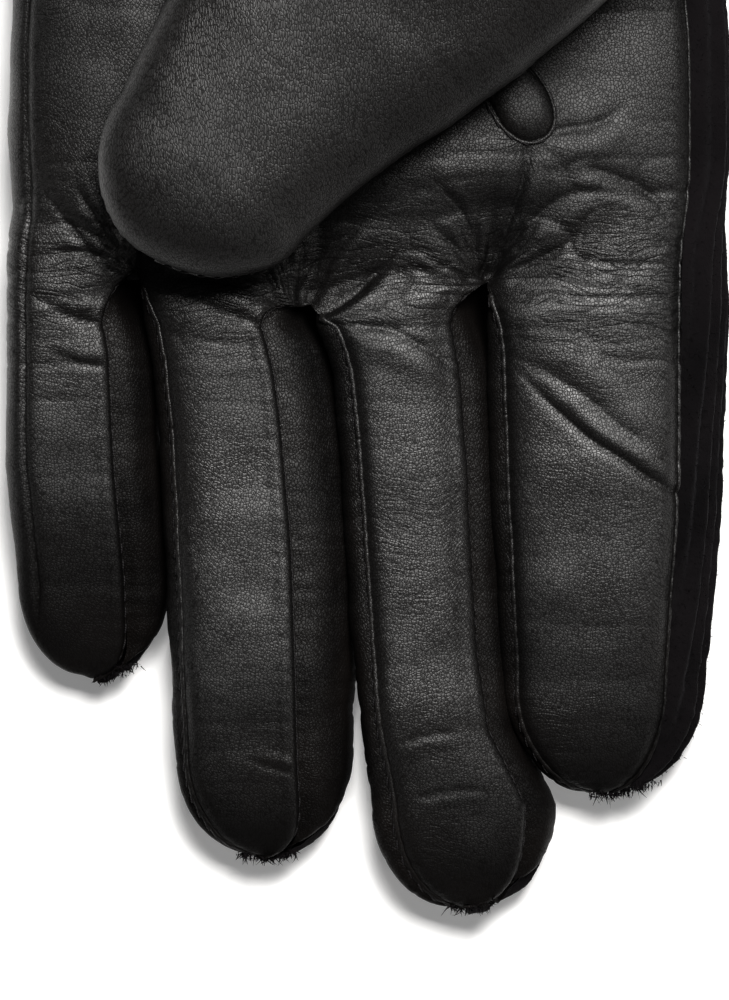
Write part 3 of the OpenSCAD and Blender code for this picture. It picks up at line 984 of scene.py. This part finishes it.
def make_fourchettes():
    for f in FINGERS:
        for side in ("right", "left"):
            if neighbour(f, side) is None:
                continue
            s, cut = finger_rows(f, GRID * 1.3)
            g = panel(f, side, s, 26)
            near, far = edge_distance(g)
            belly = np.sin(math.pi * near / (near + far))
            sink = np.exp(-s / PIT_RUN)[:, None]
            swell = BELLY * (1 - 0.65 * smooth(s, BELLY_RUN, 2 * BELLY_RUN))[:, None]
            g = g + normals(g) * ((swell * (1 - sink) - PIT * sink) * belly)[..., None]
            first, last = seam_strength(f, side, s)
            g = shaped(g, normals(g), side_shape, first, last, (None, True if side == "right" else None))
            n = normals(g)
            word = {"right": "outer_", "left": "inner_"}[side] if f in ("ring", "middle") else ""
            for part, rows in finger_parts(cut):
                name = f"{f.title()}_{side.title()}_Fourchette_{part}"
                obj = put_grid(name, g[rows], n[rows], LEATHER_SIDE)
                bend_piece(obj, part.lower())
                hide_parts(f"{f}_{part.lower()}_{word}fourchette")


# ---------------------------------------------------------------- seams: a raised edge and its stitches

def tube(path, out, wide, tall, turns=8):
    """A bead along a path: out is the direction that its height takes."""
    along = np.gradient(path, axis=0)
    along /= np.maximum(np.linalg.norm(along, axis=-1, keepdims=True), 1e-12)
    side = np.cross(along, out)
    side /= np.maximum(np.linalg.norm(side, axis=-1, keepdims=True), 1e-12)
    up = np.cross(side, along)
    a = np.linspace(0, 2 * math.pi, turns, endpoint=False)
    return (path[:, None] + side[:, None] * (wide[:, None] * np.cos(a))[..., None]
            + up[:, None] * (tall[:, None] * np.sin(a))[..., None])


def stitch_rings(a, b, out, thick, lift):
    """A short thread from a to b, arched up from the leather."""
    t = np.linspace(0, 1, 6)
    path = a + (b - a) * t[:, None] + out * (lift * np.sin(math.pi * t))[:, None]
    wide = thick * (0.35 + 0.65 * np.sin(math.pi * np.clip(t * 0.9 + 0.05, 0, 1)) ** 0.5)
    return tube(path, np.repeat(out[None], len(t), 0), wide, wide, 6)


def seam_mesh(name, path, out, wide=0.62 * MM, tall=0.42 * MM, rise=0.22 * MM, start=0.0, sewn=True):
    """A welt with its stitches, as one piece. start keeps the stitches in step from one piece to the next."""
    arc = start + lengths(path)
    pinch = 1 - 0.16 * (0.5 + 0.5 * np.cos(2 * math.pi * arc / STITCH))
    w = wide * pinch * (1 + 0.1 * noise(path, 3 * MM, 61))
    g = tube(path + out * rise, out, w, tall * pinch)
    verts = [g.reshape(-1, 3)]
    at, turns = len(verts[0]), g.shape[1]
    faces = grid_faces(*g.shape[:2], closed=True) + [list(range(turns))[::-1], list(range(at - turns, at))]
    marks = [0] * len(faces)
    reach = STITCH_REACH * STITCH
    first = math.ceil(arc[0] / STITCH - 0.5)
    for k in range(first, int(arc[-1] / STITCH + 0.5) if sewn else first):
        where = (k + 0.5) * STITCH
        if where - reach < arc[0] or where + reach > arc[-1]:
            continue
        a, b, o = (np.array([np.interp(v, arc, q[:, i]) for i in range(3)])
                   for v, q in ((where - reach, path), (where + reach, path), (where, out)))
        side = np.cross((b - a) / max(np.linalg.norm(b - a), 1e-9), o)
        shift = side * wide * 0.9 + o * (rise + tall * 0.55)
        a, b = a + shift - side * wide * 0.5, b + shift + side * 0.1 * MM
        ring = stitch_rings(a, b, o, STITCH_THICK, STITCH_LIFT)
        verts.append(ring.reshape(-1, 3))
        more = grid_faces(*ring.shape[:2], closed=True, start=at)
        faces += more
        marks += [1] * len(more)
        at += len(verts[-1])
    obj = put_mesh(name, np.concatenate(verts), faces, [LEATHER_EDGE, THREAD], marks=marks)
    return obj, arc[-1]


# The bead of each kind of seam: a cut edge at the velvet, a sunk seam on the right, a rolled one on the left
SEAM_SIZES = {"cut": {"wide": 0.3 * MM, "tall": 0.3 * MM, "rise": 0.1 * MM, "sewn": False},
              "right": {"wide": 0.28 * MM, "tall": 0.2 * MM, "rise": -0.05 * MM},
              "left": {"wide": 0.5 * MM, "tall": 0.3 * MM, "rise": 0.0}}


def seam_parts(cut, first=0):
    return ("Base", slice(first, cut + 1)), ("Tip", slice(cut, -FREE_ROWS))


def make_finger_seams(front):
    for f in FINGERS:
        g, n, cut = front["fingers"][f]
        for column, side in ((0, "Right"), (-1, "Left")):
            path, out = g[:, column], n[:, column]
            whole = (f, side) in (("index", "Right"), ("little", "Left"))
            size = SEAM_SIZES["cut" if (f, side) == ("index", "Right") else side.lower()]
            run = 0.0
            for part, rows in seam_parts(cut, 0 if whole else FREE_ROWS):
                name = f"{f.title()}_{side}_Seam_{part}"
                obj, run = seam_mesh(name, path[rows], out[rows], start=run, **size)
                bend_piece(obj, part.lower())


def make_hand_seams(front):
    g, n = front["hand"], front["hand_n"]
    for column, side, kind in ((0, "Index", "cut"), (-1, "Little", "left")):
        run = 0.0
        for part, rows in hand_parts(front["ys"]):
            obj, run = seam_mesh(f"{side}_Side_Seam_{part}", g[rows, column], n[rows, column], start=run,
                                 **SEAM_SIZES[kind])
            hold(obj, part, Hand=side.lower() + "_side_seam")


# ---------------------------------------------------------------- thumb

THUMB_ROOT = np.array(JOINTS["thumb_swing"]["pos_m"])
THUMB_MID = np.array(JOINTS["thumb_straighten"]["pos_m"])
THUMB_LOW = float(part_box("thumb_base_back")[0].z)
THUMB_TALL = float(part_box("thumb_base_front")[1].z) - THUMB_LOW
THUMB_TIP_TALL = 15 * MM
THUMB_HALF = 24 * MM
THUMB_TIP_HALF = 16.5 * MM
THUMB_POWER = 2.4
THUMB_SPLIT = 0.5526
THUMB_LONG = 76 * MM
THUMB_CUT = 0.27 * THUMB_LONG
_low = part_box("thumb_tip_front")[0]
THUMB_END = np.array([_low.x + THUMB_TIP_HALF + 0.4 * MM, _low.y + THUMB_TIP_HALF])
THUMB_SWEEP = ((THUMB_MID[:2] - (1 - THUMB_SPLIT) ** 2 * THUMB_ROOT[:2] - THUMB_SPLIT ** 2 * THUMB_END)
               / (2 * THUMB_SPLIT * (1 - THUMB_SPLIT)))


def thumb_frame(s):
    """Middle of the thumb at s, its direction, and the direction across it."""
    t = np.clip(s / THUMB_LONG, 0, 1)[..., None]
    over = np.maximum(0, s - THUMB_LONG)[..., None]
    under = np.minimum(0, s)[..., None]
    way = 2 * (1 - t) * (THUMB_SWEEP - THUMB_ROOT[:2]) + 2 * t * (THUMB_END - THUMB_SWEEP)
    u = way / np.linalg.norm(way, axis=-1, keepdims=True)
    c = (1 - t) ** 2 * THUMB_ROOT[:2] + 2 * t * (1 - t) * THUMB_SWEEP + t * t * THUMB_END + (over + under) * u
    return c, u, np.stack([-u[..., 1], u[..., 0]], -1)


def thumb_point(s, turn):
    c, u, side = thumb_frame(s)
    q = np.clip((s - THUMB_LONG) / THUMB_TIP_HALF, 0, 1)
    e = np.sqrt(1 - q * q)
    t = np.clip(s / THUMB_LONG, 0, 1)
    wide = np.interp(s, np.array([0, 0.5, 0.684, 1]) * THUMB_LONG,
                     [THUMB_HALF, THUMB_HALF + MM, THUMB_HALF - MM, THUMB_TIP_HALF]) * e
    tall = (THUMB_TALL + (THUMB_TIP_TALL - THUMB_TALL) * t) / 2
    a = np.radians(turn)
    x = power(np.cos(a), 2 / THUMB_POWER) * wide
    z = THUMB_LOW + tall + power(np.sin(a), 2 / THUMB_POWER) * tall * e
    p = c + side * x[..., None]
    return np.concatenate([p, z[..., None]], -1)


# How far inside the hand's edge the thumb's root keeps
ROOT_INSET = 3 * MM


def root_point(beta, turn):
    """The gusset between thumb and palm: the thumb's open end, turned down about its hinge on to the palm."""
    ring = thumb_point(0 * turn, turn)
    c, u, side = (q[0] for q in thumb_frame(np.zeros(1)))
    h = ring[..., 2] - THUMB_LOW
    a = beta * math.pi / 2
    out = h * np.sin(a) * (1 - 0.4 * beta) + 1.0 * MM * beta
    across_it = (ring[..., :2] - c) @ side * (1 - 0.25 * smooth(beta, 0, 1))
    flat = c - u * out[..., None] + side * across_it[..., None]
    middle, half, _ = hand_size(flat[..., 1])
    over = np.maximum(0, flat[..., 0] - (middle + half - 2 * ROOT_INSET))
    flat[..., 0] -= over * over / (over + ROOT_INSET)
    z = THUMB_LOW + h * np.cos(a)
    hand_z = palm_height(flat[..., 0], flat[..., 1])
    w = smooth(beta, 0.35, 1.0)
    return np.concatenate([flat, (z * (1 - w) + (hand_z - 0.3 * MM) * w)[..., None]], -1)


def bend_thumb(obj):
    """Bakes a thumb piece's placement into its points."""
    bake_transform(obj)


def thumb_rows(base, shaft, end, last):
    """Places along the thumb: so many in the base, the shaft and round the tip, up to a last turn."""
    turns = np.radians(np.linspace(0, last, end))[1:]
    return np.concatenate([np.linspace(0, THUMB_CUT, base), np.linspace(THUMB_CUT, THUMB_LONG, shaft)[1:],
                           THUMB_LONG + THUMB_TIP_HALF * np.sin(turns)])


def thumb_shape(p):
    d = 0.5 * MM * noise(p, 17 * MM, 71) + 0.14 * MM * noise(p, 6 * MM, 72)
    c, u, side = thumb_frame(np.array([0.3 * THUMB_LONG]))
    q = np.stack([(p[..., 0] * side[0, 0] + p[..., 1] * side[0, 1]),
                  (p[..., 0] * u[0, 0] + p[..., 1] * u[0, 1]), p[..., 2]], -1)
    return d + 0.07 * MM * creases(q, np.array([20, 6, 30]) * MM, 0.2, 73)


THUMB_SEAM_LOW = -12
THUMB_SEAM_HIGH = 192


def make_thumb():
    """The thumb's two leathers with the gusset to the palm, their seams, and the ring sewn round its root."""
    s = thumb_rows(34, 92, 34, 89.6)
    beta = np.linspace(1, 0, 26)[:-1]
    cut = len(beta) + 33
    rims = []
    for kind, word, low, high, n in (("Over", "front", THUMB_SEAM_LOW, THUMB_SEAM_HIGH, 96),
                                     ("Under", "back", THUMB_SEAM_HIGH, THUMB_SEAM_LOW + 360, 60)):
        g = np.concatenate([around(root_point, beta, low, high, n), around(thumb_point, s, low, high, n)])
        one = np.ones((len(g), 1))
        g = shaped(g, normals(g), thumb_shape, one, one)
        out = normals(g)
        for part, rows in finger_parts(cut):
            obj = put_grid(f"Thumb_{kind}_{part}", g[rows], out[rows], LEATHER_THUMB)
            bend_thumb(obj)
            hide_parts(f"thumb_{part.lower()}_{word}")
        for column, side in ((0, "Low"), (-1, "High")) if kind == "Over" else ():
            run = 0.0
            for part, rows in seam_parts(cut):
                name = f"Thumb_{side}_Seam_{part}"
                seam, run = seam_mesh(name, g[rows, column], out[rows, column], start=run)
                bend_thumb(seam)
        rims.append(g[0][:-1])
    path = resample(np.concatenate([*rims, rims[0][:1]]), 0.5 * MM)
    obj, _ = seam_mesh("Thumb_Welt", path, upward(path), rise=0.35 * MM)
    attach(obj, "hand")
    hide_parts("thumb_welt")


# The drop points away from the thumb, towards the fork of the middle and index fingers
TONGUE_LEAN = 32


def make_tongue():
    """The drop of leather let into the palm, a little domed, with its sewn edge."""
    low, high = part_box("thumb_tongue")
    wide = (high.x - low.x) / 2
    cx, cy = low.x + 0.92 * wide, low.y + 1.28 * wide
    a = np.linspace(0, 2 * math.pi, 121)
    side, down = 0.95 * wide * power(np.cos(a), 0.85), np.where(np.sin(a) < 0, 1.45, 1.7) * wide * np.sin(a)
    lean = math.radians(TONGUE_LEAN)
    rx, ry = side * math.cos(lean) - down * math.sin(lean), side * math.sin(lean) + down * math.cos(lean)
    r = np.linspace(0.001, 1, 26)[::-1, None]
    x, y = cx + rx * r, cy + ry * r
    dome = 1.3 * MM * (1 - r ** 3) + 0.2 * MM
    sewn = 0.5 * MM * np.exp(-((1 - r) * wide / (0.7 * MM)) ** 2)
    g = facing_up(np.stack([x, y, palm_height(x, y) + dome - sewn], -1))
    g = g + normals(g) * (0.1 * MM * noise(g, 3 * MM, 81))[..., None]
    obj = put_grid("Thumb_Tongue", g, normals(g), LEATHER_EDGE)
    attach(obj, "hand")
    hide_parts("thumb_tongue")
    edge = np.stack([cx + rx * 1.02, cy + ry * 1.02, palm_height(cx + rx, cy + ry)], -1)[:-1]
    path = resample(np.concatenate([edge, edge[:1]]), 0.4 * MM)
    seam, _ = seam_mesh("Thumb_Tongue_Seam", path, upward(path), wide=0.28 * MM, tall=0.2 * MM, rise=0.1 * MM)
    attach(seam, "hand")


# ---------------------------------------------------------------- lining, hem, webs

def facing_up(g):
    return g if normals(g)[..., 2].mean() > 0 else g[:, ::-1]


def put_lining(name, g, rows):
    """A piece of lining, its normals turned to the inside of the glove."""
    n = -normals(g)
    return put_grid(name, g[rows][:, ::-1], n[rows][:, ::-1], KNIT)


def make_lining():
    """The knitted inner layer of the cuff, the hand, the fingers and the thumb, seen from inside."""
    top = MOUTH_Y - HEM * 0.6
    ys = np.linspace(top, 0, int(top / (1.6 * MM)) + 1)
    g = around(hand_point, ys, 0, 360, 120, 2 * DENSE)
    g = g - normals(g) * LAYER
    dip = 1 - smooth(ys, 0, PALM_BLEND)[:, None]
    middle = hand_size(ys)[2][:, None]
    g[..., 2] = middle + (g[..., 2] - middle) * (1 - 0.72 * dip)
    g[..., 0] *= 1 - 0.04 * dip
    g = g - normals(g) * (0.15 * MM * noise(g, 4 * MM, 91))[..., None]
    for part, rows in hand_parts(ys):
        hold(put_lining(f"Lining_{part}", g, rows), part, Hand="hand_lining", Cuff="cuff_lining")
    for f in FINGERS:
        s, cut = finger_rows(f, 1.6 * MM)
        s = s[s < PROFILE[f]["long"] - 4 * MM]
        g = around(lambda along, turn: finger_point(f, along, turn), s, 0, 360, TURNS)
        g = g - normals(g) * 2.1 * LAYER
        for part, rows in finger_parts(cut):
            obj = put_lining(f"{f.title()}_Lining_{part}", g, rows)
            bend_piece(obj, part.lower())
            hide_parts(f"{f}_{part.lower()}_lining")


def make_thumb_lining():
    g = around(thumb_point, thumb_rows(12, 32, 14, 84), 0, 360, TURNS)
    g = g - normals(g) * LAYER
    for part, rows in finger_parts(11):
        obj = put_lining(f"Thumb_Lining_{part}", g, rows)
        bend_thumb(obj)
        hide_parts(f"thumb_{part.lower()}_lining")


def make_hem():
    """The turned edge of the mouth: down the outside, round the end and back up inside, with a sewn line."""
    turns = np.linspace(0, math.pi, 13)[1:-1]
    thick = LAYER + 0.5 * MM
    outer = np.linspace(MOUTH_Y - HEM, MOUTH_Y - thick / 2, 14)
    ys = np.concatenate([outer, MOUTH_Y - thick / 2 + thick / 2 * np.sin(turns), outer[::-1]])
    depth = np.concatenate([0 * outer, thick / 2 * (1 - np.cos(turns)), 0 * outer + thick])[:, None]
    g = around(hand_point, ys, 0, 360, 300, 2 * DENSE)
    inward = -normals(around(hand_point, outer, 0, 360, 300, 2 * DENSE))[5]
    inward[:, 1] = 0
    inward /= np.linalg.norm(inward, axis=-1, keepdims=True)
    line = np.exp(-((g[..., 1] - (MOUTH_Y - HEM * 0.8)) / (0.6 * MM)) ** 2) * 0.35 * MM
    g = g - inward * (depth + line * (depth <= 0))[..., None]
    g[..., 2] = np.maximum(g[..., 2], CLEAR)
    n = -normals(g)
    if (n[3] * inward).sum(-1).mean() < 0:
        n = -n
    faces = [face[::-1] for face in grid_faces(*g.shape[:2])]
    obj = put_mesh("Cuff_Hem", g.reshape(-1, 3), faces, [LEATHER], n.reshape(-1, 3))
    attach(obj, "cuff")
    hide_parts("cuff_hem")


WEB_LONG = 13 * MM
WEB_FLOOR = 2.5 * MM


def make_webs():
    """The web of leather in each fork: it hangs from the fork and runs down between the two fingers."""
    for f, top in zip(FINGERS, FORKS):
        other = neighbour(f, "right")
        t = np.linspace(0, 1, 40)
        s = np.maximum(0, WEB_LONG * t - top[1])
        right = np.array([finger_point(f, v, np.linspace(-90, 90, 60))[:, 0].max() for v in s])
        left = np.array([finger_point(other, v, np.linspace(90, 270, 60))[:, 0].min() for v in s])
        middle = (right + left) / 2 + (top[0] - (right[0] + left[0]) / 2) * (1 - t) ** 2
        u = np.linspace(-1, 1, 24)
        wide = (1.2 + 3.0 * np.sqrt(t)) * MM
        z = top[2] - 0.7 * MM - (top[2] - WEB_FLOOR) * np.minimum(1, 1.3 * t) ** 0.6
        y = (top[1] + 0.8 * MM - WEB_LONG * t)[:, None] + 0 * u
        z = np.maximum(z[:, None] + 0.9 * MM * u * u, 0.3 * MM)
        g = np.stack([middle[:, None] + wide[:, None] * u, y, z], -1)
        g = facing_up(g + normals(g) * (0.2 * MM * noise(g, 2.5 * MM, 97))[..., None])
        obj = put_grid(f"Web_{f.title()}_{other.title()}", g, normals(g), LEATHER_SIDE)
        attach(obj, "hand")
        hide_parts(f"quirk_{f}_{other}")


def finish_elastic():
    obj = frame["nodes"]["wrist_elastic"]
    obj.data.materials.clear()
    obj.data.materials.append(elastic("elastic"))


# ---------------------------------------------------------------- loose pile

def blades(name, roots, ways, lengths_of, width, rng):
    """Loose fibres: thin bent blades from each root."""
    verts, faces = [], []
    for root, way, length in zip(roots, ways, lengths_of):
        side = np.cross(way, rng.normal(size=3))
        side /= max(np.linalg.norm(side), 1e-9)
        bend = rng.normal(size=3) * 0.35 * length
        at = len(verts)
        for t in (0, 0.35, 0.7, 1):
            p = root + way * length * t + bend * t * t
            w = width * (1 - 0.85 * t) / 2
            verts += [p - side * w, p + side * w]
        faces += [(a, a + 1, a + 3, a + 2) for a in (at, at + 2, at + 4)]
    obj = put_mesh(name, np.array(verts), faces, [VELVET])
    return obj


def make_pile():
    """Frayed tufts of pile at the fingertips, where the velvet back comes round the end of the leather."""
    rng = np.random.default_rng(7)
    for f, many, low, high in (("little", 6, 0.05, 0.55), ("ring", 9, -0.3, 0.36), ("middle", 7, -0.15, 0.33),
                               ("index", 9, -0.12, 0.5)):
        p = PROFILE[f]
        roots, ways, sizes = [], [], []
        for k in range(many):
            off = low + (high - low) * (k + rng.uniform(0.2, 0.8)) / many
            e = math.sqrt(1 - off * off)
            x = float(np.interp(p["long"], p["s"], p["x"])) + half_x(f, p["start"]) * off
            y = -(p["start"] + p["reach"] * e) + 0.3 * MM
            tuft = np.array([x, y, p["z"][-1] * rng.uniform(0.85, 1.15)])
            hairs = rng.integers(26, 44)
            size = rng.uniform(0.35, 0.75) * MM
            roots.append(tuft + rng.normal(size=(hairs, 3)) * size * np.array([1, 0.5, 1.2]))
            way = np.array([off * 0.5, -1, 0.15]) + 0.55 * rng.normal(size=(hairs, 3))
            ways.append(way / np.linalg.norm(way, axis=-1, keepdims=True))
            sizes.append(rng.uniform(0.5, 1.15, hairs) * MM)
        hair = (np.concatenate(part) for part in (roots, ways, sizes))
        obj = blades(f"{f.title()}_Tip_Pile", *hair, 0.3 * MM, rng)
        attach(obj, f + "_tip")


def make_edge_pile(back):
    """Short standing pile down the index side, where the velvet is seen edge on."""
    rng = np.random.default_rng(11)
    ys, g, n = back["ys"], back["hand"], back["hand_n"]
    rows = np.where((ys > 0) & (ys < WRIST_Y - WRIST_ZONE / 2 - 2 * MM))[0]
    sources = [("Hand", g[rows], n[rows], None)]
    fg, fn, cut = back["fingers"]["index"]
    sources += [("Index_Base", fg[:cut + 1], fn[:cut + 1], "base"), ("Index_Tip", fg[cut:], fn[cut:], "tip")]
    for name, points, outs, part in sources:
        cols = points.shape[1]
        many = int(len(points) * 28)
        r = rng.integers(0, len(points), many)
        c = cols - 1 - (rng.uniform(0, 1, many) ** 1.2 * cols * (0.16 if part is None else 0.42)).astype(int)
        roots = points[r, c] + rng.normal(size=(many, 3)) * 0.25 * MM
        ways = outs[r, c] + 0.45 * rng.normal(size=(many, 3))
        ways /= np.linalg.norm(ways, axis=-1, keepdims=True)
        obj = blades(f"{name}_Side_Pile", roots - ways * 0.2 * MM, ways, rng.uniform(0.3, 0.65, many) * MM,
                     0.13 * MM, rng)
        if part:
            bend_piece(obj, part)
        else:
            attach(obj, "hand")


# ---------------------------------------------------------------- floor, light, camera

def make_stage():
    mesh = bpy.data.meshes.new("floor")
    far = 3.0
    mesh.from_pydata([(-far, -far, 0), (far, -far, 0), (far, far, 0), (-far, far, 0)], [], [(0, 1, 2, 3)])
    mesh.materials.append(ground("floor"))
    add_object("Floor", mesh)


def area(name, origin, size, energy, colour):
    """A square lamp that looks at the middle of the glove."""
    light = bpy.data.lights.new(name, "AREA")
    light.shape = "RECTANGLE"
    light.size = light.size_y = size
    light.energy = energy
    light.color = colour
    obj = add_object(name, light)
    obj.location = origin
    obj.rotation_mode = "QUATERNION"
    obj.rotation_quaternion = (Vector(AIM) - Vector(origin)).to_track_quat("-Z", "Y")


AIM = (0, -0.03, 0)


def make_light():
    world = bpy.data.worlds.new("World")
    bpy.context.scene.world = world
    world.use_nodes = True
    sky = world.node_tree.nodes["Background"]
    sky.inputs[0].default_value = (1, 1, 1, 1)
    sky.inputs[1].default_value = 0.05
    area("Key", (0.16, 0.5, 1.2), 0.5, 37, (1, 0.985, 0.965))
    area("Side", (1.2, -0.6, 0.5), 0.4, 2.5, (1, 0.97, 0.94))
    bpy.context.scene.view_settings.view_transform = "Standard"
    bpy.context.scene.view_settings.look = "None"


VIEW_TALL = 145 * MM
VIEW_FOOT = 13.3 * MM
VIEW_FROM = 1.8


def make_camera():
    cam = bpy.data.cameras.new("Camera")
    obj = add_object("Camera", cam)
    bpy.context.scene.camera = obj
    tip = -PROFILE["middle"]["long"]
    level = PROFILE["middle"]["z"][-1]
    cam.sensor_fit = "AUTO"
    cam.sensor_width = 36
    cam.lens = 36 * (VIEW_FROM - level) / VIEW_TALL
    cam.clip_start, cam.clip_end = 0.01, 10
    obj.location = (0, tip - VIEW_FOOT + VIEW_TALL / 2, VIEW_FROM)
    obj.rotation_euler = (0, 0, 0)


front, back = make_skin()
make_fourchettes()
make_finger_seams(front)
make_hand_seams(front)
make_thumb()
make_tongue()
make_lining()
make_thumb_lining()
make_hem()
make_webs()
finish_elastic()
make_pile()
make_edge_pile(back)
make_stage()
make_light()
make_camera()

bpy.context.view_layer.update()
